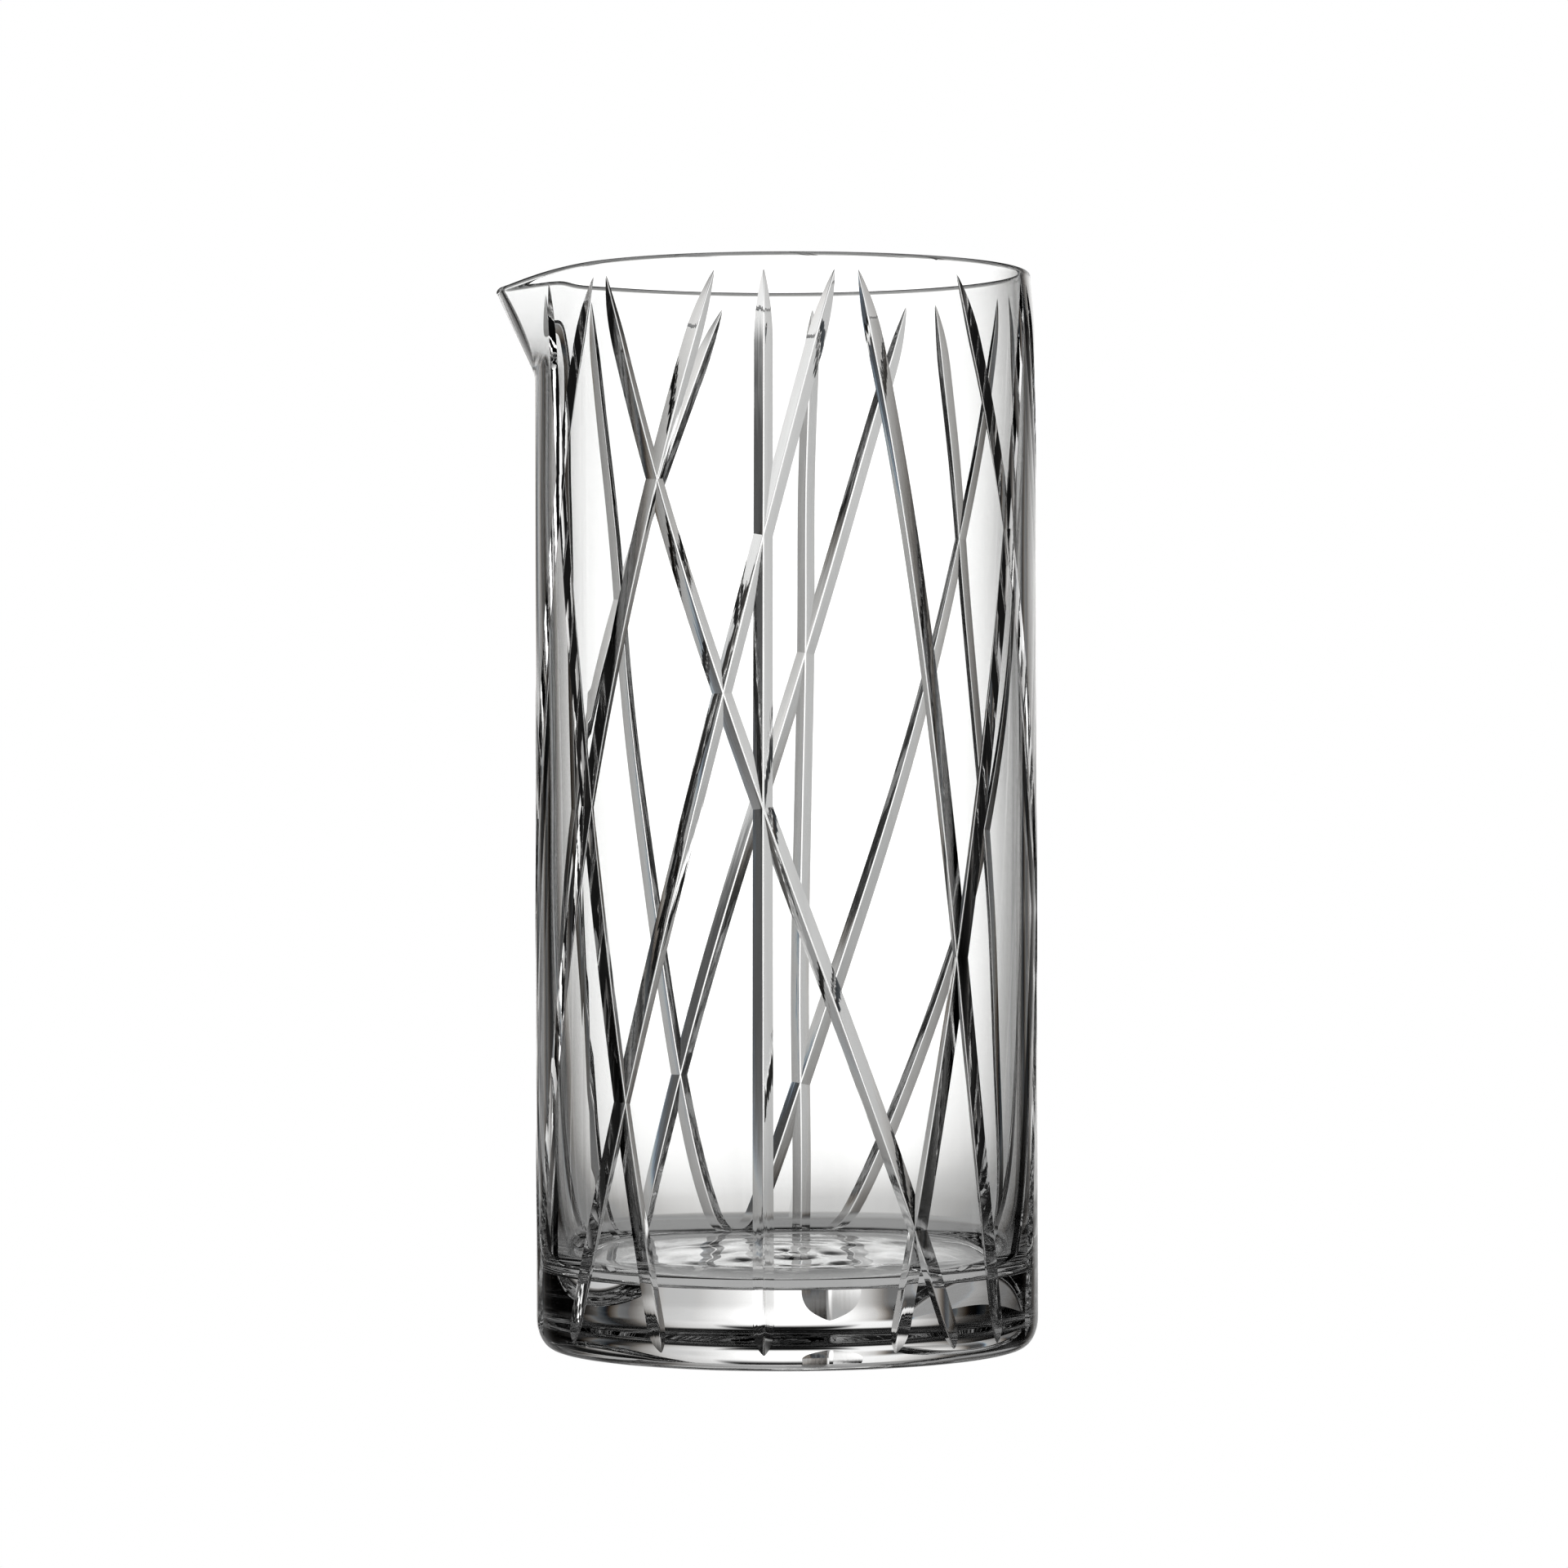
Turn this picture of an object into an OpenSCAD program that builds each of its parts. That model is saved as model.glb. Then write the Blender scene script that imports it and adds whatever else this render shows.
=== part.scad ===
// Stirring glass for mixing drinks: one piece of cut crystal with a pulled pouring spout.
// Millimetres, +Z up, origin at the centre of the underside, spout towards -X.

/* [Body] */
// Outside diameter of the straight body
body_d = 86; // [80:1:95]
// Height from the table to the top of the rim
body_h = 183.7; // [165:0.1:200]
// Wall thickness just below the rim
wall_top = 1.8; // [1.7:0.1:2.4]
// Wall thickness at the level of the drinking floor
wall_low = 3.1; // [2.6:0.1:4]
// Extra thickness of the wall just above the fillet, dying away upwards
wall_flare = 1.2; // [0:0.1:2]
// Thickness of the solid base
base_t = 13; // [10:0.5:20]
// Radius of the fillet inside, where the floor meets the wall
floor_fillet = 5; // [3:0.5:7]
// How far the rounding of the foot reaches inwards
foot_round = 3; // [2:0.5:4]
// How far the rounding of the foot reaches up
foot_tall = 4.2; // [2.6:0.2:5]
// How far the rim is drawn in from the straight body
rim_draw = 0.9; // [0.4:0.1:1.2]
// Height of the zone below the rim that is drawn in
rim_zone = 12; // [9:1:15]

/* [Spout] */
// How far the spout's tip stands out from the body
spout_reach = 6.8; // [4:0.2:8]
// Radius of the spout's tip, seen from above
spout_tip = 4.5; // [3.5:0.5:6]
// How far the spout leaves the wall below the rim
spout_h = 17.5; // [14:0.5:22]
// How far the lip dips at the spout's tip
lip_dip = 2.4; // [1:0.2:3]
// Angle from the spout's middle at which the dip has died away to a third
dip_angle = 18; // [14:1:24]
// Thickness of the glass at the spout's tip
spout_wall = 1.5; // [1.5:0.1:1.8]

/* [Cuts] */
// Depth of the V-shaped cuts under the rim
cut_depth_top = 0.92; // [0.6:0.02:1]
// Depth of the V-shaped cuts at the foot
cut_depth_foot = 1.06; // [0.6:0.02:1.2]
// Angle between the two faces of a cut
cut_angle = 117; // [100:1:130]
// Distance from the top of the rim down to the upper tips of the cuts
cut_margin = 2.5; // [2.5:0.5:20]
// Height of the lower tips of the cuts above the table
cut_foot = 1.4; // [1.2:0.2:6]
// Length over which a cut rises out of the glass at its upper tip
rise_top = 12.5; // [8:0.5:16]
// Length over which a cut rises out of the glass at its lower tip
rise_foot = 6.5; // [5:0.5:10]

/* [Hidden] */

// Each cut runs round the body as it falls. Its four angles are those of its upper tip, of the
// points a third and two thirds of the way down, and of its lower tip, in degrees round the
// body from -Y towards +X. The lines are hand cut, so no two of them are alike.
cuts = [
    [-4.6, -4.9, -5.2, -5.2],
    [11.3, -10.5, -32.5, -57.5],
    [16.4, 32, 43.3, 55.5],
    [42, 67, 88.5, 113],
    [69.5, 56, 40.5, 24.2],
    [74, 101, 136.5, 172],
    [105, 93, 81, 70],
    [112.8, 138.5, 167, 195.5],
    [139.3, 126.8, 115, 103],
    [148, 174.5, 200.5, 226],
    [173, 175.4, 176.2, 176.6],
    [195.5, 230, 262, 285],
    [236.7, 224.6, 212.5, 194.2],
    [248.8, 248.2, 243.6, 230.4],
    [-67, -56, -43.5, -28.8],
    [-48.2, -70, -89, -115],
    [-44.3, -18.7, 10.3, 41],
    [-15.6, -39.9, -61, -81]
];

body_r = body_d / 2;
rim_round = wall_top / 2;
// Height of the top of the fillet inside, and the height over which the flare dies away to a third
fillet_z = base_t + floor_fillet;
flare_h = 7;
flare_steps = 14;
// The spout: its azimuth, the height of its root, the radius of its bulge there as seen from
// above, the sector of wall to each side of its middle that is drawn with it, and the share of
// its height over which it eases out of the wall
spout_az = -90;
spout_root_z = body_h - spout_h;
spout_foot_r = 22;
spout_half = 38;
spout_ease = 0.05;
spout_steps = 28;
section_steps = 8;
lip_steps = 5;
tan_half_cut = tan(cut_angle / 2);
cut_top = body_h - cut_margin;
// Half the step, as a share of a cut's length, over which its slope is measured
slope_step = 0.01;
// Least half width of a cutting tool, and its least depth, beyond the tips of a cut
least_half = 0.02;
least_deep = 0.02;
// Depth of a cut for which its tool is carried on past the tips
tip_reach = 2.2;
// How far the spout's skin lies inside the vessel's where the two overlap
skin = 0.02;
// How far the cutting tools stand out of the glass
clear = 0.35;
$fn = 144;

function mix(a, b, t) = a + (b - a) * t;
function clamp01(t) = max(0, min(1, t));
function arc(cx, cz, r, from, to, steps) =
    [for (i = [0:steps]) let (q = mix(from, to, i / steps)) [cx + r * cos(q), cz + r * sin(q)]];

// Radius of the outside of the body at height z, without the spout and the foot's rounding
function outer_at(z) =
    body_r - rim_draw * pow(clamp01((z - body_h + rim_zone) / rim_zone), 2);
// Thickness of the wall, which thins quickly over the flare above the floor and evenly to the rim
function wall_at(z) =
    mix(wall_low, wall_top, clamp01((z - base_t) / (body_h - base_t)))
    + wall_flare * exp((fillet_z - z) / flare_h);
function inner_at(z) = outer_at(z) - wall_at(z);

// Outline of a circle with a small circle in front of it and their common tangents, as a
// radius at angle a from the small circle's side
function beaked(a, r, reach, tip) =
    let (
        m = r + reach - tip,
        touch = acos((r - tip) / m),
        side = atan2(tip * sin(touch), m + tip * cos(touch)),
        q = abs(a - 360 * round(a / 360))
    )
    q >= touch ? r
    : q >= side ? r / cos(touch - q)
    : m * cos(q) + sqrt(pow(tip, 2) - pow(m * sin(q), 2));

// How far the spout has come out at height z: 0 at its root, 1 at its tip, easing in at the root
function spout_at(z) =
    let (t = max(0, (z - spout_root_z) / (spout_h - lip_dip)))
    (t < spout_ease ? t * t / (2 * spout_ease) : t - spout_ease / 2) / (1 - spout_ease / 2);
function surface_at(a, z) =
    let (t = spout_at(z))
    t <= 0 ? outer_at(z)
    : beaked(a, outer_at(z), t * (spout_reach + body_r - outer_at(z)), mix(spout_foot_r, spout_tip, t));
function lip_z(a) = body_h - lip_dip * exp(-pow(abs(a) / dip_angle, 1.4));
function spout_wall_at(a, z) =
    mix(wall_at(z), spout_wall, spout_at(z) * clamp01(1 - abs(a) / spout_half));

// Closed outline of the wall at angle a from the spout's middle: up the outside, over the
// rounded lip and down the inside, as [radius, height]
function spout_section(a) =
    let (
        z0 = spout_root_z - 1.5,
        top = lip_z(a) - skin,
        t_lip = spout_wall_at(a, top) - 2 * skin,
        z1 = top - t_lip / 2
    )
    concat(
        [for (i = [0:section_steps]) let (z = mix(z0, z1, i / section_steps))
            [surface_at(a, z) - skin, z]],
        [for (i = [1:lip_steps - 1]) let (q = 180 * i / lip_steps)
            [surface_at(a, z1) - skin - t_lip / 2 * (1 - cos(q)), z1 + t_lip / 2 * sin(q)]],
        [for (i = [section_steps:-1:0]) let (z = mix(z0, z1, i / section_steps))
            [surface_at(a, z) - spout_wall_at(a, z) + skin, z]]
    );

// The end of a loft, as a strip of triangles between the two halves of its n-point outline
function strip(n) = [for (j = [0:floor(n / 2) - 1]) each let (b = n - 1 - j)
    j + 1 < b - 1 ? [[j, j + 1, b], [j + 1, b - 1, b]] : j + 1 < b ? [[j, j + 1, b]] : []];
// A solid through a row of closed sections that all have the same number of points
module loft(sections) {
    n = len(sections[0]);
    last = n * (len(sections) - 1);
    sides = [for (i = [0:n:last - n], j = [0:n - 1]) let (k = (j + 1) % n)
        each [[i + j, i + n + k, i + k], [i + j, i + n + j, i + n + k]]];
    near_end = strip(n);
    far_end = [for (t = strip(n)) [t[2], t[1], t[0]] + [last, last, last]];
    polyhedron(points = [for (s = sections) each s], faces = concat(near_end, sides, far_end), convexity = 8);
}

// A point at azimuth th, radius r and height z
function place(th, r, z) = [r * sin(th), -r * cos(th), z];

// The turned vessel: rounded foot, straight wall, drawn-in rim, tapering inside and filleted floor
module vessel() {
    top_z = body_h - rim_round;
    fillet_r = inner_at(fillet_z) - floor_fillet;
    foot = [for (p = arc(0, 0, 1, -90, 0, 10)) [body_r + foot_round * (p[0] - 1), foot_tall * (1 + p[1])]];
    outside = [for (z = [foot_tall + 1, 60, 120, body_h - rim_zone]) [outer_at(z), z]];
    drawn = [for (i = [1:8]) let (z = body_h - rim_zone + (rim_zone - rim_round) * i / 8) [outer_at(z), z]];
    drawn_inside = [for (i = [8:-1:0]) let (z = body_h - rim_zone + (rim_zone - rim_round) * i / 8)
        [inner_at(z), z]];
    flared = [for (i = [flare_steps:-1:1]) let (z = fillet_z + 5 * flare_h * pow(i / flare_steps, 1.5))
        [inner_at(z), z]];
    rotate_extrude()
        polygon(concat(
            [[0, 0]],
            foot,
            outside,
            drawn,
            arc(outer_at(top_z) - rim_round, top_z, rim_round, 15, 165, 10),
            drawn_inside,
            flared,
            arc(fillet_r, fillet_z, floor_fillet, 0, -90, 12),
            [[0, base_t]]
        ));
}

// The sector of wall that the spout takes the place of
module spout_gap() {
    half = spout_half - 2;
    far = 2 * body_r;
    rotate([0, 0, spout_az - 90])
        translate([0, 0, spout_root_z])
            linear_extrude(height = spout_h + 5)
                polygon([
                    [0, 0],
                    [far * cos(half), -far * sin(half)],
                    [far, 0],
                    [far * cos(half), far * sin(half)]
                ]);
}

// The pulled part of the wall
module spout() {
    loft([for (i = [0:spout_steps])
        let (a = spout_half * (1 - 2 * i / spout_steps))
        [for (p = spout_section(a)) place(spout_az + a, p[0], p[1])]]);
}

// Azimuth of a cut's line a share u of the way down, by cubic interpolation of its four angles
function along(c, u) =
    let (v = 1 - u, p = 3 * u - 1, q = 3 * u - 2)
    c[0] * v * p * q / 2 + c[1] * 9 * u * v * (-q) / 2 + c[2] * 9 * u * v * p / 2 + c[3] * u * p * q / 2;

// Depth of a cut at height z: full in the middle, rising along an arc towards both tips
function depth_at(z) =
    let (
        full = mix(cut_depth_foot, cut_depth_top, clamp01((z - cut_foot) / (cut_top - cut_foot))),
        up = max(0, (z - cut_top + rise_top) / rise_top),
        down = max(0, (cut_foot + rise_foot - z) / rise_foot)
    )
    full * (1 - pow(up, 2) - pow(down, 2));

// Heights of the sections of a cut, closer together where it rises to its tips
over_top = cut_top + rise_top * clear / tip_reach;
under_foot = cut_foot - rise_foot * clear / tip_reach;
cut_levels = concat(
    [for (i = [0:4]) mix(over_top, cut_top - rise_top, i / 5)],
    [for (i = [0:17]) mix(cut_top - rise_top, cut_foot + rise_foot, i / 18)],
    [for (i = [0:4]) mix(cut_foot + rise_foot, under_foot, i / 4)]
);

// The V-shaped section of a cut at height z: both upper edges outside the glass, and the point
function cut_section(c, z) =
    let (
        u = (cut_top - z) / (cut_top - cut_foot),
        th = along(c, u),
        turn = (along(c, u + slope_step) - along(c, u - slope_step)) / (2 * slope_step),
        lean = atan(body_r * PI / 180 * turn / (cut_top - cut_foot)),
        d = depth_at(z),
        half = max(least_half, (d + clear) * tan_half_cut),
        side_th = half * cos(lean) / body_r * 180 / PI,
        side_z = half * sin(lean),
        r = surface_at(th - spout_az, z)
    )
    [
        place(th - side_th, surface_at(th - side_th - spout_az, z - side_z) + clear, z - side_z),
        place(th, min(r - d, r + clear - least_deep), z),
        place(th + side_th, surface_at(th + side_th - spout_az, z + side_z) + clear, z + side_z)
    ];

// The uncut glass: the vessel with the spout pulled out of its wall
module blank() {
    difference() {
        vessel();
        spout_gap();
    }
    spout();
}

// The blank after the first n cuts, made one after another as on the cutting wheel
module cut_glass(n) {
    if (n == 0)
        blank();
    else
        difference() {
            cut_glass(n - 1);
            loft([for (z = cut_levels) cut_section(cuts[n - 1], z)]);
        }
}

module glass_body() {
    color("azure", 0.5)
        cut_glass(len(cuts));
}

glass_body();
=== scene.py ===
"""Looks of the mixing glass: one piece of clear cut crystal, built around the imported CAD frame.

The shape functions work in millimetres and degrees, in the frame of the CAD: +Z up, the origin
at the centre of the underside, the spout towards -X. Azimuths run from -Y towards +X.
"""

import math

import bpy
import numpy as np
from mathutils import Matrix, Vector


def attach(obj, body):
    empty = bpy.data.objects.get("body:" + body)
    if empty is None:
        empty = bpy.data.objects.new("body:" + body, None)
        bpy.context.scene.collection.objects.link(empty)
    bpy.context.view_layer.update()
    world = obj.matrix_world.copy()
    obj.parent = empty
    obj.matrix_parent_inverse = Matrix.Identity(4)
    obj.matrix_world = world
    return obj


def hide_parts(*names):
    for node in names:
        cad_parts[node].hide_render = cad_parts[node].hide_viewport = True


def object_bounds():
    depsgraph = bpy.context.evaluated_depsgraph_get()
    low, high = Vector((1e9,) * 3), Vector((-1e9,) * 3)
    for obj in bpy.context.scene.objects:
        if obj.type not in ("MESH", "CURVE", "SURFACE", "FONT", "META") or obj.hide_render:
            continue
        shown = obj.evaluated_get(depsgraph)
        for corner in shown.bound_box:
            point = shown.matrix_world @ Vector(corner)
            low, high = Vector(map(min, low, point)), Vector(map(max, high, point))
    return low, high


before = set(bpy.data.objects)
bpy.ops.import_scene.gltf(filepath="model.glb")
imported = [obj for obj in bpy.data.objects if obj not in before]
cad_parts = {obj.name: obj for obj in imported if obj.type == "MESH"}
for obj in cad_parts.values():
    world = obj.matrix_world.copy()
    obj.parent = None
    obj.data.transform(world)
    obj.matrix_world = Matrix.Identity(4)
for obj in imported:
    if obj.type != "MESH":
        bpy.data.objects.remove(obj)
CAD_LOW, CAD_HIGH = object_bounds()

MM = 0.001

# Body, in millimetres: its wall thins towards the rim and flares just above the floor, its foot
# is rounded and its rim is drawn in
BODY_R = CAD_HIGH.x / MM
BODY_H = CAD_HIGH.z / MM
WALL_TOP = 1.8
WALL_LOW = 3.1
WALL_FLARE = 1.2
FLARE_H = 7.0
BASE_T = 13.0
FLOOR_FILLET = 5.0
FOOT_ROUND = 3.0
FOOT_TALL = 5.2
RIM_DRAW = 0.9
RIM_ZONE = 12.0

# Spout, in millimetres and degrees. It widens from a small circle's tangents, which leave the
# round wall softly once the spout has come out a little. The lip dips in front.
SPOUT_AZ = -90.0
SPOUT_REACH = 6.8
SPOUT_TIP_R = 4.5
SPOUT_FOOT_R = 22.0
SPOUT_H = 17.5
SPOUT_ROOT_Z = BODY_H - SPOUT_H
SPOUT_HALF = 38.0
SPOUT_WALL = 1.5
SPOUT_EASE = 0.05
SPOUT_BLEND = 3.0
BLEND_REACH = SPOUT_REACH / 4
LEAST_BLEND = 0.01
LIP_DIP = 2.4
DIP_ANGLE = 18.0
DIP_POWER = 1.4

# Unevenness of the inside: depth in millimetres, waves round the glass, height in millimetres
# to a radian, and phase
INNER_WAVES = [
    (0.05, 3, 21, 0.4),
    (0.03, 5, -13, 1.9),
    (0.015, 2, 6.5, 0),
]
# It fades in over these heights in millimetres, below the spout and above the floor
FADE_TOP = 20.0
FADE_FLOOR = 8.0

# Ripple of the drinking floor: depths of its rings, its long swell and its short one, and the
# radius towards which it calms, in millimetres
RINGS_DEEP = 0.05
SWELL_DEEP = 0.08
CHOP_DEEP = 0.04
CALM_R = 34.0
CALM_START = 1.15

# Cuts, in millimetres and degrees: a V with a rounded point, rising out of the glass along an
# arc at both tips. Its tool stands clear of the glass and is never narrower than LEAST_CUT.
CUT_DEPTH_TOP = 0.92
CUT_DEPTH_FOOT = 1.06
CUT_ANGLE = 117.0
POINT_R = 0.4
POINT_SHARE = 0.4
CUT_TOP = 181.2
CUT_FOOT = 1.4
RISE_TOP = 12.5
RISE_FOOT = 6.5
CLEAR = 0.35
LEAST_CUT = 0.02
TIP_REACH = 2.2
# Azimuth of each cut's line at its upper tip, a third and two thirds of the way down, and at
# its lower tip, as in the CAD. All rows but the one that starts at 105 come from a least-squares
# fit to points read in the photo, rounded and partly changed.
CUTS = [
    (-4.6, -4.9, -5.2, -5.2),
    (11.3, -10.5, -32.5, -57.5),
    (16.4, 32, 43.3, 55.5),
    (42, 67, 88.5, 113),
    (69.5, 56, 40.5, 24.2),
    (74, 101, 136.5, 172),
    (105, 93, 81, 70),
    (112.8, 138.5, 167, 195.5),
    (139.3, 126.8, 115, 103),
    (148, 174.5, 200.5, 226),
    (173, 175.4, 176.2, 176.6),
    (195.5, 230, 262, 285),
    (236.7, 224.6, 212.5, 194.2),
    (248.8, 248.2, 243.6, 230.4),
    (-67, -56, -43.5, -28.8),
    (-48.2, -70, -89, -115),
    (-44.3, -18.7, 10.3, 41),
    (-15.6, -39.9, -61, -81),
]

# Lines of the cutting wheel: how many to a millimetre across a cut and along it, how far they
# tilt the glass, as a slope, and how far apart in their noise two cuts lie
MARKS_ACROSS = 6.0
MARKS_ALONG = 0.12
MARKS = 0.06
PATHS_APART = 10.0

# Fineness of the mesh: degrees between its columns, where its rings start and the gaps they
# leave at the spout's root, in millimetres, and the numbers of rings and of a cut's sections
COLUMN_STEP = 1.25
SPOUT_COLUMN_STEP = 0.7
FOOT_EDGE = 0.6
UNDERSIDE_RINGS = (8, 24, 38, BODY_R - FOOT_ROUND - FOOT_EDGE, BODY_R - FOOT_ROUND)
ARC_STEPS = 12
WALL_START = 7.0
ROOT_GAP_OUTSIDE = 1.0
ROOT_GAP_INSIDE = 1.5
WALL_RINGS = 40
SPOUT_RINGS = 25
LIP_RINGS = 15
INSIDE_RINGS = 60
FLOOR_RINGS = 38
FLOOR_EYE_R = 0.9
TIP_SECTIONS = 28
MIDDLE_SECTIONS = 64
FOOT_SECTIONS = 18
# Share of a cut over which its slope is taken, and the least that a true normal has to face
# the same way as its flat face
SLOPE_STEP = 0.01
LEAST_FACING = 0.3

# Light: what a screen shows of the studio at each angle to the right of straight ahead, a
# little above the level of the glass, level with it and a little below it, as shares of full
# brightness. The levels are listed, many of them after medians of the photo's tones, sorted
# by the direction in which light leaves the glass.
STUDIO = [
    (-90, 0.03, 0.03, 0.03),
    (-60, 0.03, 0.03, 0.03),
    (-56, 0.05, 0.03, 0.05),
    (-50, 0.06, 0.04, 0.08),
    (-43, 0.1, 0.05, 0.15),
    (-40, 0.15, 0.2, 0.25),
    (-37, 0.2, 0.05, 0.3),
    (-34, 0.3, 0.1, 0.4),
    (-31, 0.45, 0.38, 0.45),
    (-28.5, 0.6, 0.2, 0.45),
    (-26, 0.66, 0.55, 0.5),
    (-21.2, 0.78, 0.65, 0.6),
    (-20.2, 0.82, 0.32, 0.55),
    (-16.5, 0.84, 0.3, 0.55),
    (-14, 0.85, 0.7, 0.6),
    (-10, 0.85, 0.86, 0.8),
    (-5, 0.97, 0.97, 0.93),
    (0, 1.0, 1.0, 0.97),
    (5, 0.97, 0.97, 0.93),
    (10, 0.86, 0.84, 0.75),
    (15, 0.78, 0.73, 0.62),
    (21, 0.7, 0.7, 0.62),
    (25, 0.55, 0.55, 0.5),
    (28, 0.35, 0.4, 0.3),
    (31, 0.2, 0.45, 0.2),
    (34, 0.15, 0.12, 0.15),
    (37, 0.3, 0.35, 0.12),
    (40, 0.4, 0.25, 0.1),
    (44, 0.2, 0.05, 0.06),
    (60, 0.04, 0.03, 0.03),
    (90, 0.03, 0.03, 0.03),
]
# The rest of the studio: the table, the dark edge over the panel, the light overhead, the
# reflectors beside the camera, the dark to the sides, and the painted shade on the floor under the
# glass
TABLE = 0.55
EDGE_ABOVE = 0.08
OVERHEAD = 0.5
BEHIND = 0.52
SIDES = 0.04
UNDERNEATH = 0.74
# Where one gives way to the next, from and to, in degrees above the horizon
BELOW_TO_LEVEL = (-9, -3)
LEVEL_TO_ABOVE = (3, 6)
TABLE_TO_BELOW = (-28, -16)
OVERHEAD_FROM = (34, 42)
# The edge over the panel starts lower straight ahead than beside it
EDGE_AHEAD = 6.5
EDGE_BESIDE = 12.0
EDGE_SOFT = 5.0
# The same in degrees away from straight ahead
EDGE_TO_BESIDE = (13, 17)
TABLE_TO_SIDES = (45, 60)
OVERHEAD_TO_SIDES = (60, 75)
SIDES_TO_BEHIND = (104, 118)
BEHIND_TO_DARK = (148, 153)
# How much nearer to straight ahead red sees the studio than green does, and how much further
# out blue does, as a share of the angle
SPREAD = 0.006
PANEL_STRENGTH = 1.45
SCREEN_GAMMA = 2.2
VIEW_GAMMA = 0.8

# Floor, in metres: half its width, how far it lies below the glass, and the soft edge of its
# painted shade
FLOOR_HALF = 3.0
FLOOR_GAP = 0.0002
SHADE_SOFT = 0.001


def mix(a, b, t):
    return a + (b - a) * t


def unit(vectors):
    return vectors / np.linalg.norm(vectors, axis=-1, keepdims=True)


def outer_at(z):
    """Radius of the outside at height z, without the spout and the foot's rounding."""
    drawn = np.clip((z - BODY_H + RIM_ZONE) / RIM_ZONE, 0, 1)
    return BODY_R - RIM_DRAW * drawn**2


def wall_at(z):
    """Thickness of the wall at height z, growing towards the floor."""
    even = mix(WALL_LOW, WALL_TOP, np.clip((z - BASE_T) / (BODY_H - BASE_T), 0, 1))
    return even + WALL_FLARE * np.exp((BASE_T + FLOOR_FILLET - z) / FLARE_H)


def beaked(a, r, reach, tip):
    """Outline of a circle with a small circle in front of it and their common tangents, as a
    radius at angle a from the small circle's side. The tangents leave the circle softly where
    the small circle has come out."""
    m = r + reach - tip
    touch = np.arccos(np.clip((r - tip) / m, -1, 1))
    side = np.arctan2(tip * np.sin(touch), m + tip * np.cos(touch))
    q = np.abs(np.radians((a + 180) % 360 - 180))
    blend = math.radians(SPOUT_BLEND) * np.clip(reach / BLEND_REACH, LEAST_BLEND, 1)
    past = blend * np.logaddexp(0, (touch - q) / blend)
    straight = r / np.cos(past)
    nose = m * np.cos(q) + np.sqrt(np.maximum(tip**2 - (m * np.sin(q)) ** 2, 0))
    return np.where(q >= side, straight, nose)


def spout_at(z):
    """How far the spout has come out at height z: 0 at its root, 1 at its tip."""
    t = np.maximum(0, (z - SPOUT_ROOT_Z) / (SPOUT_H - LIP_DIP))
    eased = np.where(t < SPOUT_EASE, t * t / (2 * SPOUT_EASE), t - SPOUT_EASE / 2)
    return eased / (1 - SPOUT_EASE / 2)


def surface_at(azimuth, z):
    """Radius of the uncut outside."""
    t = spout_at(z)
    r = outer_at(z)
    tip = mix(SPOUT_FOOT_R, SPOUT_TIP_R, t)
    return beaked(azimuth - SPOUT_AZ, r, t * (SPOUT_REACH + BODY_R - r), tip)


def from_spout(azimuth):
    """Angle from the spout's middle, without sign."""
    return np.abs((azimuth - SPOUT_AZ + 180) % 360 - 180)


def lip_z(azimuth):
    return BODY_H - LIP_DIP * np.exp(-((from_spout(azimuth) / DIP_ANGLE) ** DIP_POWER))


def thickness_at(azimuth, z):
    """Thickness of the wall, with the spout drawn thinner."""
    share = np.clip(1 - from_spout(azimuth) / SPOUT_HALF, 0, 1)
    return mix(wall_at(z), SPOUT_WALL, spout_at(z) * share)


def columns():
    """Azimuths of the mesh's columns, closer together on the spout."""
    near = np.arange(-SPOUT_HALF, SPOUT_HALF, SPOUT_COLUMN_STEP)
    far = np.arange(SPOUT_HALF, 360 - SPOUT_HALF, COLUMN_STEP)
    return SPOUT_AZ + np.concatenate([near, far])


def arc(r, z, radius, start, stop, steps):
    """Points on an arc about (r, z), without its two ends."""
    q = np.radians(np.linspace(start, stop, steps + 1)[1:-1])
    return [(r + radius * math.cos(t), z + radius * math.sin(t)) for t in q]


def place(azimuth, r, z):
    q = np.radians(azimuth)
    return np.stack([r * np.sin(q), -r * np.cos(q), z + 0 * r], axis=-1)


def inner_wave(azimuth, z):
    """Slight unevenness of the inside, which no tool has touched."""
    q = np.radians(azimuth)
    total = 0
    for deep, turns, tall, phase in INNER_WAVES:
        total = total + deep * np.sin(turns * q + z / tall + phase)
    return total


def floor_wave(x, y):
    """Ripple of the drinking floor, with its wavelengths in millimetres to a radian."""
    r = np.hypot(x, y)
    q = np.arctan2(y, x)
    rings = RINGS_DEEP * np.sin(r / 1.3 + 1.5 * np.sin(2 * q + 0.6))
    swell = SWELL_DEEP * np.sin(x / 6 + 1.1) * np.sin(y / 5 + 0.3)
    chop = CHOP_DEEP * np.sin(x / 2.7 - y / 3.9) * np.cos(y / 2.3 + x / 7)
    return (rings + swell + chop) * np.clip(CALM_START - (r / CALM_R) ** 2, 0, 1)


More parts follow.
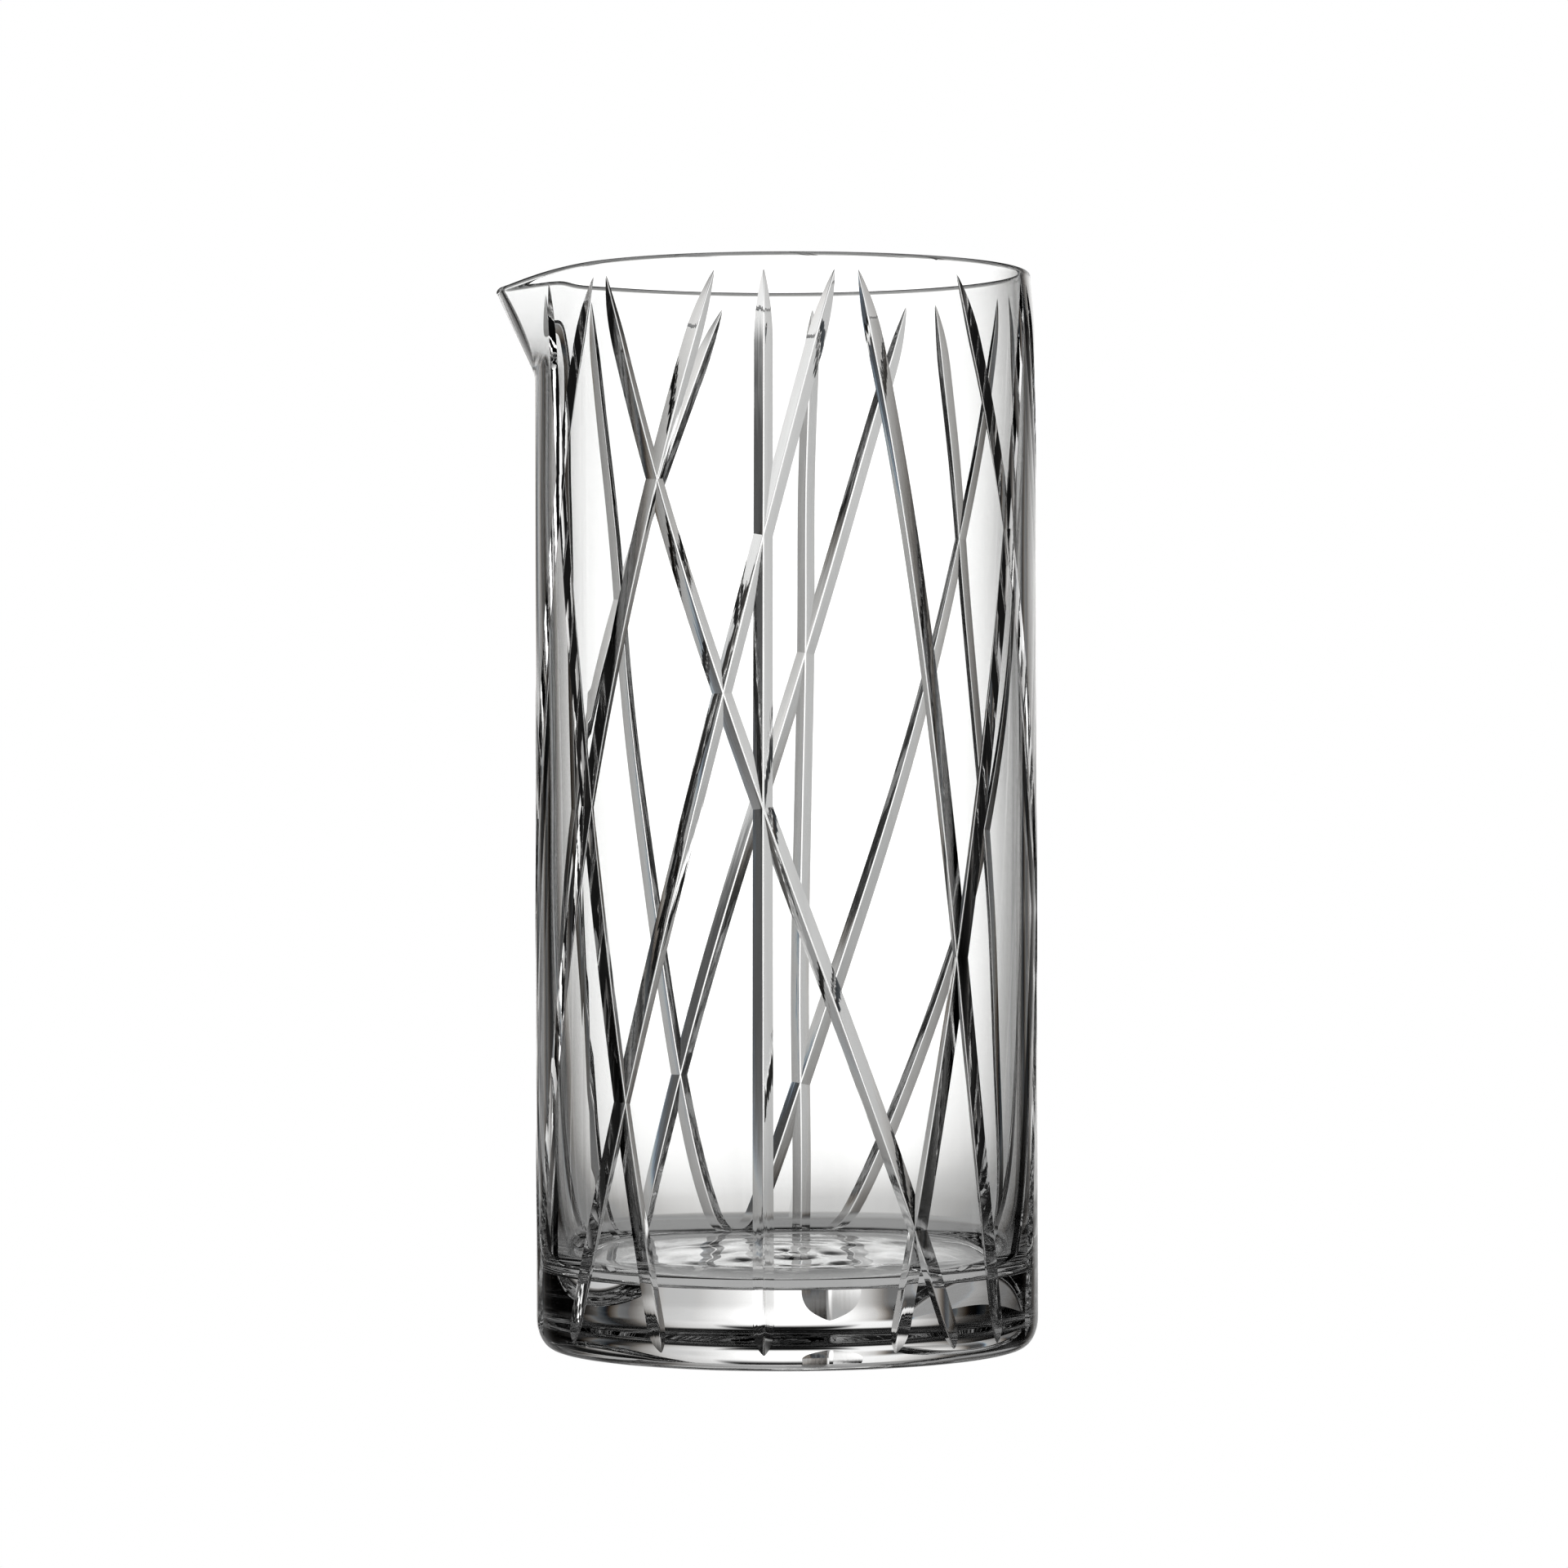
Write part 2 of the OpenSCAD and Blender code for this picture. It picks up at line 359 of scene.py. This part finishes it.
def outside_rings(azimuth):
    """Rings of the uncut outside, from the underside's middle up to the spout's root."""
    one = np.ones_like(azimuth)
    rings = [place(azimuth, r * one, 0 * one) for r in UNDERSIDE_RINGS]
    for r, z in arc(BODY_R - FOOT_ROUND, 0, FOOT_ROUND, -90, 0, ARC_STEPS):
        rings.append(place(azimuth, r * one, (FOOT_TALL + z * FOOT_TALL / FOOT_ROUND) * one))
    edge = [FOOT_TALL, FOOT_TALL + FOOT_EDGE]
    straight = np.linspace(WALL_START, SPOUT_ROOT_Z - ROOT_GAP_OUTSIDE, WALL_RINGS)
    for z in np.concatenate([edge, straight]):
        rings.append(place(azimuth, surface_at(azimuth, z * one), z * one))
    return rings


def rim_rings(azimuth):
    """Rings of the spout's height: up the outside, over the rounded rim and down the inside."""
    half = thickness_at(azimuth, lip_z(azimuth)) / 2
    lip_base = lip_z(azimuth) - half
    heights = [mix(SPOUT_ROOT_Z, lip_base, t) for t in np.linspace(0, 1, SPOUT_RINGS)]
    rings = [place(azimuth, surface_at(azimuth, z), z) for z in heights]
    middle = surface_at(azimuth, lip_base) - half
    for q in np.radians(np.linspace(0, 180, LIP_RINGS)[1:-1]):
        rings.append(place(azimuth, middle + half * math.cos(q), lip_base + half * math.sin(q)))
    for z in heights[::-1]:
        rings.append(place(azimuth, surface_at(azimuth, z) - thickness_at(azimuth, z), z))
    return rings


def inside_rings(azimuth):
    """Rings of the inside below the spout, down to the floor's middle."""
    one = np.ones_like(azimuth)
    rings = []
    fillet_z = BASE_T + FLOOR_FILLET
    for z in np.linspace(SPOUT_ROOT_Z - ROOT_GAP_INSIDE, fillet_z, INSIDE_RINGS):
        fade = np.clip((SPOUT_ROOT_Z - z) / FADE_TOP, 0, 1)
        fade *= np.clip((z - fillet_z) / FADE_FLOOR, 0, 1)
        inside = surface_at(azimuth, z * one) - wall_at(z) + fade * inner_wave(azimuth, z)
        rings.append(place(azimuth, inside, z * one))
    fillet_r = outer_at(fillet_z) - wall_at(fillet_z) - FLOOR_FILLET
    for r, z in arc(fillet_r, fillet_z, FLOOR_FILLET, 0, -90, ARC_STEPS):
        rings.append(place(azimuth, r * one, z * one))
    for r in np.linspace(fillet_r, FLOOR_EYE_R, FLOOR_RINGS):
        ring = place(azimuth, r * one, BASE_T * one)
        ring[:, 2] += floor_wave(ring[:, 0], ring[:, 1])
        rings.append(ring)
    return rings


def grid_normals(grid):
    """Normals of a closed band of rings by central differences, outwards."""
    round_it = np.roll(grid, -1, axis=1) - np.roll(grid, 1, axis=1)
    up = np.empty_like(grid)
    up[1:-1] = grid[2:] - grid[:-2]
    up[0] = grid[1] - grid[0]
    up[-1] = grid[-1] - grid[-2]
    return unit(np.cross(round_it, up))


def mesh_object(name, verts, faces, normals, wheel):
    """A mesh object that keeps, at every face corner, the true normal of the glass, given for
    each vertex or each corner, and the place on the wheel's path, given for each vertex:
    millimetres across it and along it, and the path's number, which is 0 off the cuts."""
    mesh = bpy.data.meshes.new(name)
    mesh.from_pydata(verts * MM, [], faces)
    corner_vertex = np.empty(len(mesh.loops), np.int32)
    mesh.loops.foreach_get("vertex_index", corner_vertex)
    if len(normals) == len(verts):
        normals = normals[corner_vertex]
    for key, values in (("glass_normal", normals), ("wheel_path", wheel[corner_vertex])):
        kept = mesh.attributes.new(key, "FLOAT_VECTOR", "CORNER")
        kept.data.foreach_set("vector", values.astype(np.float32).ravel())
    obj = bpy.data.objects.new(name, mesh)
    bpy.context.scene.collection.objects.link(obj)
    return obj


def make_blank():
    """The uncut glass as one closed mesh."""
    azimuth = columns()
    grid = np.array(outside_rings(azimuth) + rim_rings(azimuth) + inside_rings(azimuth))
    rows, n = grid.shape[:2]
    normals = grid_normals(grid)
    normals[: len(UNDERSIDE_RINGS)] = (0, 0, -1)
    verts = np.concatenate([grid.reshape(-1, 3), [[0, 0, 0], [0, 0, BASE_T + floor_wave(0, 0)]]])
    normals = np.concatenate([normals.reshape(-1, 3), [[0, 0, -1], [0, 0, 1]]])
    under, floor = rows * n, rows * n + 1
    last = (rows - 1) * n
    faces = []
    for i in range(rows - 1):
        for j in range(n):
            k = (j + 1) % n
            faces.append((i * n + j, i * n + k, i * n + n + k, i * n + n + j))
    for j in range(n):
        k = (j + 1) % n
        faces.append((under, k, j))
        faces.append((floor, last + j, last + k))
    return mesh_object("glass_body_fine", verts, faces, normals, np.zeros_like(verts))


def along(cut, u):
    """Azimuth of a cut's line a share u of the way down: a cubic through its four angles."""
    v, p, q = 1 - u, 3 * u - 1, 3 * u - 2
    return (
        cut[0] * v * p * q / 2
        - cut[1] * 9 * u * v * q / 2
        + cut[2] * 9 * u * v * p / 2
        + cut[3] * u * p * q / 2
    )


def depth_at(z):
    """Depth of a cut at height z, rising along an arc towards both tips."""
    full = mix(CUT_DEPTH_FOOT, CUT_DEPTH_TOP, np.clip((z - CUT_FOOT) / (CUT_TOP - CUT_FOOT), 0, 1))
    up = np.maximum(0, (z - CUT_TOP + RISE_TOP) / RISE_TOP)
    down = np.maximum(0, (CUT_FOOT + RISE_FOOT - z) / RISE_FOOT)
    return full * (1 - up**2 - down**2)


def cut_heights():
    """Heights of a cutter's sections, closer together towards both tips."""
    over = CUT_TOP + RISE_TOP * CLEAR / TIP_REACH
    under = CUT_FOOT - RISE_FOOT * CLEAR / TIP_REACH
    top = np.linspace(over, CUT_TOP - RISE_TOP, TIP_SECTIONS)
    foot = np.linspace(CUT_FOOT + RISE_FOOT, under, FOOT_SECTIONS)
    middle = np.linspace(top[-1], foot[0], MIDDLE_SECTIONS + 2)[1:-1]
    return np.concatenate([top, middle, foot])


def cutter_rows(cut):
    """The five lines of a cut's tool along its path: the left edge, the rounded point's left
    end, its middle, its right end and the right edge, each with its distance from the middle."""
    z = cut_heights()
    u = (CUT_TOP - z) / (CUT_TOP - CUT_FOOT)
    az = along(cut, u)
    turn = along(cut, u + SLOPE_STEP) - along(cut, u - SLOPE_STEP)
    lean = np.arctan(np.radians(turn / (2 * SLOPE_STEP * (CUT_TOP - CUT_FOOT))) * BODY_R)
    depth = depth_at(z)
    slope = math.radians(90 - CUT_ANGLE / 2)
    half = np.maximum(LEAST_CUT, (depth + CLEAR) / math.tan(slope))
    point_r = surface_at(az, z) + np.minimum(-depth, CLEAR - LEAST_CUT)
    nose = np.minimum(POINT_R * math.sin(slope), half * POINT_SHARE)
    rise = nose * math.tan(slope / 2)
    rows, asides = [], [-half, -nose, 0 * nose, nose, half]
    for aside in asides:
        row_az = az + np.degrees(aside * np.cos(lean) / BODY_R)
        row_z = z + aside * np.sin(lean)
        share = np.abs(aside) / half
        edge_r = surface_at(row_az, row_z) + CLEAR
        row_r = mix(point_r, edge_r, share) + np.where(share == 0, rise, 0)
        rows.append(place(row_az, row_r, row_z))
    return rows, asides


def row_normals(rows):
    """Normals of the V along each of its five lines. The edges and the point's ends take those
    of their flanks, and its middle the one between."""
    runs = [np.gradient(row, axis=0) for row in rows]
    left, right = rows[1] - rows[0], rows[4] - rows[3]
    left_edge, left_nose = (unit(np.cross(runs[k], left)) for k in (0, 1))
    right_nose, right_edge = (unit(np.cross(runs[k], right)) for k in (3, 4))
    return [left_edge, left_nose, unit(left_nose + right_nose), right_nose, right_edge]


def make_cutter(number, cut):
    """The tool path of one cut, a V with a slightly rounded point, as a closed mesh."""
    rows, asides = cutter_rows(cut)
    shades = row_normals(rows)
    n = len(rows[0])
    steps = np.linalg.norm(np.diff(rows[2], axis=0), axis=1)
    length = np.concatenate([[0], np.cumsum(steps)])
    wheel = [np.stack([aside, length, 0 * length + number], axis=-1) for aside in asides]
    # The lid and both ends stay outside the glass, so that their normals are never seen
    unseen = np.array([0.0, 0.0, 1.0])
    faces, normals = [], []
    for i in range(n - 1):
        for row in range(4):
            a, b = row * n + i, (row + 1) * n + i
            faces.append((b, b + 1, a + 1, a))
            for shade, k in ((row + 1, i), (row + 1, i + 1), (row, i + 1), (row, i)):
                normals.append(shades[shade][k])
        faces.append((i, i + 1, 4 * n + i + 1, 4 * n + i))
        normals += [unseen] * 4
    faces.append(tuple(row * n for row in (4, 3, 2, 1, 0)))
    faces.append(tuple(row * n + n - 1 for row in range(5)))
    normals += [unseen] * 10
    verts, wheel = np.concatenate(rows), np.concatenate(wheel)
    return mesh_object(f"cutter_{number}", verts, faces, np.array(normals), wheel)


def carve(body, cutter):
    """Takes the cutter out of the body."""
    tool = body.modifiers.new("cut", "BOOLEAN")
    tool.operation = "DIFFERENCE"
    tool.solver = "MANIFOLD"
    tool.object = cutter
    depsgraph = bpy.context.evaluated_depsgraph_get()
    mesh = bpy.data.meshes.new_from_object(body.evaluated_get(depsgraph))
    body.modifiers.remove(tool)
    body.data = mesh
    bpy.data.objects.remove(cutter)


def set_true_normals(obj):
    """Shades the mesh with the normals kept at its corners, which the cuts carried over."""
    mesh = obj.data
    kept = mesh.attributes["glass_normal"]
    normals = np.empty(len(mesh.loops) * 3, np.float32)
    kept.data.foreach_get("vector", normals)
    normals = unit(normals.reshape(-1, 3))
    face_normals = np.empty(len(mesh.polygons) * 3, np.float32)
    mesh.polygons.foreach_get("normal", face_normals)
    corners = np.empty(len(mesh.polygons), np.int32)
    mesh.polygons.foreach_get("loop_total", corners)
    face_of = np.repeat(face_normals.reshape(-1, 3), corners, axis=0)
    facing = np.sum(normals * face_of, axis=1)
    normals[facing < LEAST_FACING] = face_of[facing < LEAST_FACING]
    mesh.attributes.remove(kept)
    mesh.normals_split_custom_set(normals.tolist())


def make_glass():
    body = make_blank()
    for number, cut in enumerate(CUTS, start=1):
        carve(body, make_cutter(number, cut))
    set_true_normals(body)
    body.data.materials.clear()
    body.data.materials.append(crystal())
    body.name = "cut_crystal"
    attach(body, "root")
    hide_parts("glass_body")


def add_node(tree, kind, **settings):
    node = tree.nodes.new(kind)
    for key, value in settings.items():
        setattr(node, key, value)
    return node


def math_node(tree, operation, *values):
    """A math node fed with sockets or numbers."""
    node = add_node(tree, "ShaderNodeMath", operation=operation)
    for socket, value in zip(node.inputs, values):
        if isinstance(value, (int, float)):
            socket.default_value = value
        else:
            tree.links.new(value, socket)
    return node.outputs[0]


def wheel_marks(tree):
    """The normal, unsettled on the cuts by the fine lines that the wheel leaves along them."""
    path = add_node(tree, "ShaderNodeAttribute", attribute_name="wheel_path").outputs["Vector"]
    stretched = add_node(tree, "ShaderNodeVectorMath", operation="MULTIPLY")
    stretched.inputs[1].default_value = (MARKS_ACROSS, MARKS_ALONG, PATHS_APART)
    tree.links.new(path, stretched.inputs[0])
    noise = add_node(tree, "ShaderNodeTexNoise")
    noise.inputs["Scale"].default_value = 1.0
    noise.inputs["Detail"].default_value = 3.0
    tree.links.new(stretched.outputs[0], noise.inputs["Vector"])
    centred = add_node(tree, "ShaderNodeVectorMath", operation="SUBTRACT")
    centred.inputs[1].default_value = (0.5, 0.5, 0.5)
    tree.links.new(noise.outputs["Color"], centred.inputs[0])
    split = add_node(tree, "ShaderNodeSeparateXYZ")
    tree.links.new(path, split.inputs[0])
    on_cut = math_node(tree, "GREATER_THAN", split.outputs[2], 0.5)
    amount = math_node(tree, "MULTIPLY", on_cut, MARKS)
    push = add_node(tree, "ShaderNodeVectorMath", operation="SCALE")
    tree.links.new(centred.outputs[0], push.inputs[0])
    tree.links.new(amount, push.inputs["Scale"])
    normal = add_node(tree, "ShaderNodeNewGeometry").outputs["Normal"]
    total = add_node(tree, "ShaderNodeVectorMath", operation="ADD")
    tree.links.new(normal, total.inputs[0])
    tree.links.new(push.outputs[0], total.inputs[1])
    evened = add_node(tree, "ShaderNodeVectorMath", operation="NORMALIZE")
    tree.links.new(total.outputs[0], evened.inputs[0])
    return evened.outputs[0]


def crystal():
    """Clear crystal glass."""
    mat = bpy.data.materials.new("clear_crystal")
    mat.use_nodes = True
    shader = mat.node_tree.nodes["Principled BSDF"]
    shader.inputs["Base Color"].default_value = (0.99, 0.992, 0.99, 1)
    shader.inputs["Roughness"].default_value = 0.0
    shader.inputs["IOR"].default_value = 1.53
    shader.inputs["Transmission Weight"].default_value = 1.0
    mat.node_tree.links.new(wheel_marks(mat.node_tree), shader.inputs["Normal"])
    return mat


def ramp_node(tree, value, start, stop, low, high):
    """A smooth step from low at start to high at stop, all of them sockets or numbers."""
    node = add_node(tree, "ShaderNodeMapRange", interpolation_type="SMOOTHSTEP")
    tree.links.new(value, node.inputs["Value"])
    limits = {"From Min": start, "From Max": stop, "To Min": low, "To Max": high}
    for name, number in limits.items():
        if isinstance(number, (int, float)):
            node.inputs[name].default_value = number
        else:
            tree.links.new(number, node.inputs[name])
    return node.outputs[0]


def angle_ramp(tree, angle, ends, low, high):
    """A smooth step between two angles in degrees."""
    return ramp_node(tree, angle, math.radians(ends[0]), math.radians(ends[1]), low, high)


def linear(shown):
    """Light that a screen shows at this share of full brightness."""
    return shown**SCREEN_GAMMA


def studio_ramp(tree, at, column):
    """One column of the studio's table as a ramp."""
    ramp = add_node(tree, "ShaderNodeValToRGB")
    stops = ramp.color_ramp
    tree.links.new(at, ramp.inputs[0])
    for i, row in enumerate(STUDIO):
        stop = stops.elements[i] if i < 2 else stops.elements.new(1.0)
        stop.position = row[0] / 180 + 0.5
        stop.color = (linear(row[column]),) * 3 + (1,)
    bare = add_node(tree, "ShaderNodeRGBToBW")
    tree.links.new(ramp.outputs[0], bare.inputs[0])
    return bare.outputs[0]


def make_world():
    """A bright field: a white panel straight behind the glass, greyer to both sides and dark
    beyond, over a pale table. It turns with the camera, so that the glass is drawn alike from
    every side. Red and blue are spread a little, as by the dispersion of the glass."""
    world = bpy.data.worlds.new("bright_field")
    bpy.context.scene.world = world
    world.use_nodes = True
    tree = world.node_tree
    tree.nodes.clear()
    seen = add_node(tree, "ShaderNodeTexCoord").outputs["Camera"]
    split = add_node(tree, "ShaderNodeSeparateXYZ")
    tree.links.new(seen, split.inputs[0])
    x, y, z = split.outputs
    away = math_node(tree, "ARCCOSINE", z)
    sideways = math_node(tree, "MULTIPLY", away, math_node(tree, "SIGN", x))
    raised = math_node(tree, "ARCSINE", y)
    aside = math_node(tree, "ABSOLUTE", sideways)
    edge_ends = math.radians(EDGE_AHEAD), math.radians(EDGE_BESIDE)
    edge_low = angle_ramp(tree, aside, EDGE_TO_BESIDE, *edge_ends)
    edge_high = math_node(tree, "ADD", edge_low, math.radians(EDGE_SOFT))
    table = angle_ramp(tree, away, TABLE_TO_SIDES, linear(TABLE), linear(SIDES))
    overhead = angle_ramp(tree, away, OVERHEAD_TO_SIDES, linear(OVERHEAD), linear(SIDES))
    colour = add_node(tree, "ShaderNodeCombineColor")
    for channel, spread in enumerate((1 - SPREAD, 1.0, 1 + SPREAD)):
        at = math_node(tree, "MULTIPLY_ADD", sideways, spread / math.pi, 0.5)
        above, level, below = (studio_ramp(tree, at, column) for column in (1, 2, 3))
        light = angle_ramp(tree, raised, BELOW_TO_LEVEL, below, level)
        light = angle_ramp(tree, raised, LEVEL_TO_ABOVE, light, above)
        light = angle_ramp(tree, raised, TABLE_TO_BELOW, table, light)
        light = ramp_node(tree, raised, edge_low, edge_high, light, linear(EDGE_ABOVE))
        light = angle_ramp(tree, raised, OVERHEAD_FROM, light, overhead)
        light = angle_ramp(tree, away, SIDES_TO_BEHIND, light, linear(BEHIND))
        light = angle_ramp(tree, away, BEHIND_TO_DARK, light, linear(SIDES))
        tree.links.new(light, colour.inputs[channel])
    direct = add_node(tree, "ShaderNodeLightPath").outputs["Is Camera Ray"]
    around = add_node(tree, "ShaderNodeBackground")
    around.inputs["Strength"].default_value = PANEL_STRENGTH
    tree.links.new(colour.outputs[0], around.inputs["Color"])
    backdrop = add_node(tree, "ShaderNodeBackground")
    backdrop.inputs["Color"].default_value = (1, 1, 1, 1)
    choose = add_node(tree, "ShaderNodeMixShader")
    out = add_node(tree, "ShaderNodeOutputWorld")
    tree.links.new(direct, choose.inputs[0])
    tree.links.new(around.outputs[0], choose.inputs[1])
    tree.links.new(backdrop.outputs[0], choose.inputs[2])
    tree.links.new(choose.outputs[0], out.inputs["Surface"])


def make_floor():
    """A plain white floor. The glass sees it only right underneath, where a painted shade lies: a
    grey glow in place of the glass's shadow.
    """
    mesh = bpy.data.meshes.new("floor")
    corners = [(-1, -1), (1, -1), (1, 1), (-1, 1)]
    verts = [(x * FLOOR_HALF, y * FLOOR_HALF, -FLOOR_GAP) for x, y in corners]
    mesh.from_pydata(verts, [], [(0, 1, 2, 3)])
    floor = bpy.data.objects.new("floor", mesh)
    bpy.context.scene.collection.objects.link(floor)
    mat = bpy.data.materials.new("white_floor")
    mat.use_nodes = True
    tree = mat.node_tree
    tree.nodes.clear()
    direct = add_node(tree, "ShaderNodeLightPath").outputs["Is Camera Ray"]
    spot = add_node(tree, "ShaderNodeNewGeometry").outputs["Position"]
    from_axis = add_node(tree, "ShaderNodeVectorMath", operation="LENGTH")
    tree.links.new(spot, from_axis.inputs[0])
    edge = (BODY_R - FOOT_ROUND) * MM
    shaded = ramp_node(tree, from_axis.outputs["Value"], edge, edge + SHADE_SOFT, 1.0, 0.0)
    white = add_node(tree, "ShaderNodeEmission")
    # Painted shade: under the glass the floor glows grey for the rays that come through the glass
    painted_shade = add_node(tree, "ShaderNodeEmission")
    painted_shade.inputs["Strength"].default_value = linear(UNDERNEATH)
    clear = add_node(tree, "ShaderNodeBsdfTransparent")
    through = add_node(tree, "ShaderNodeMixShader")
    choose = add_node(tree, "ShaderNodeMixShader")
    out = add_node(tree, "ShaderNodeOutputMaterial")
    tree.links.new(shaded, through.inputs[0])
    tree.links.new(clear.outputs[0], through.inputs[1])
    tree.links.new(painted_shade.outputs[0], through.inputs[2])
    tree.links.new(direct, choose.inputs[0])
    tree.links.new(through.outputs[0], choose.inputs[1])
    tree.links.new(white.outputs[0], choose.inputs[2])
    tree.links.new(choose.outputs[0], out.inputs["Surface"])
    mesh.materials.append(mat)


def make_camera():
    """A long lens, level with the middle of the glass, with the spout at the left."""
    data = bpy.data.cameras.new("camera")
    data.sensor_width = 36
    data.lens = 123.1
    data.shift_y = -0.014
    data.shift_x = -0.0012
    data.clip_end = 20
    camera = bpy.data.objects.new("camera", data)
    camera.location = (0, -0.92, 0.1)
    camera.rotation_euler = (math.radians(90), math.radians(0.165), 0)
    bpy.context.scene.collection.objects.link(camera)
    bpy.context.scene.camera = camera


def set_light_paths_and_tones():
    scene = bpy.context.scene
    scene.view_settings.view_transform = "Standard"
    scene.view_settings.gamma = VIEW_GAMMA
    cycles = scene.cycles
    cycles.max_bounces = 48
    cycles.transmission_bounces = 48
    cycles.glossy_bounces = 16
    cycles.transparent_max_bounces = 16
    cycles.caustics_refractive = True
    cycles.caustics_reflective = True


make_glass()
make_world()
make_floor()
make_camera()
set_light_paths_and_tones()
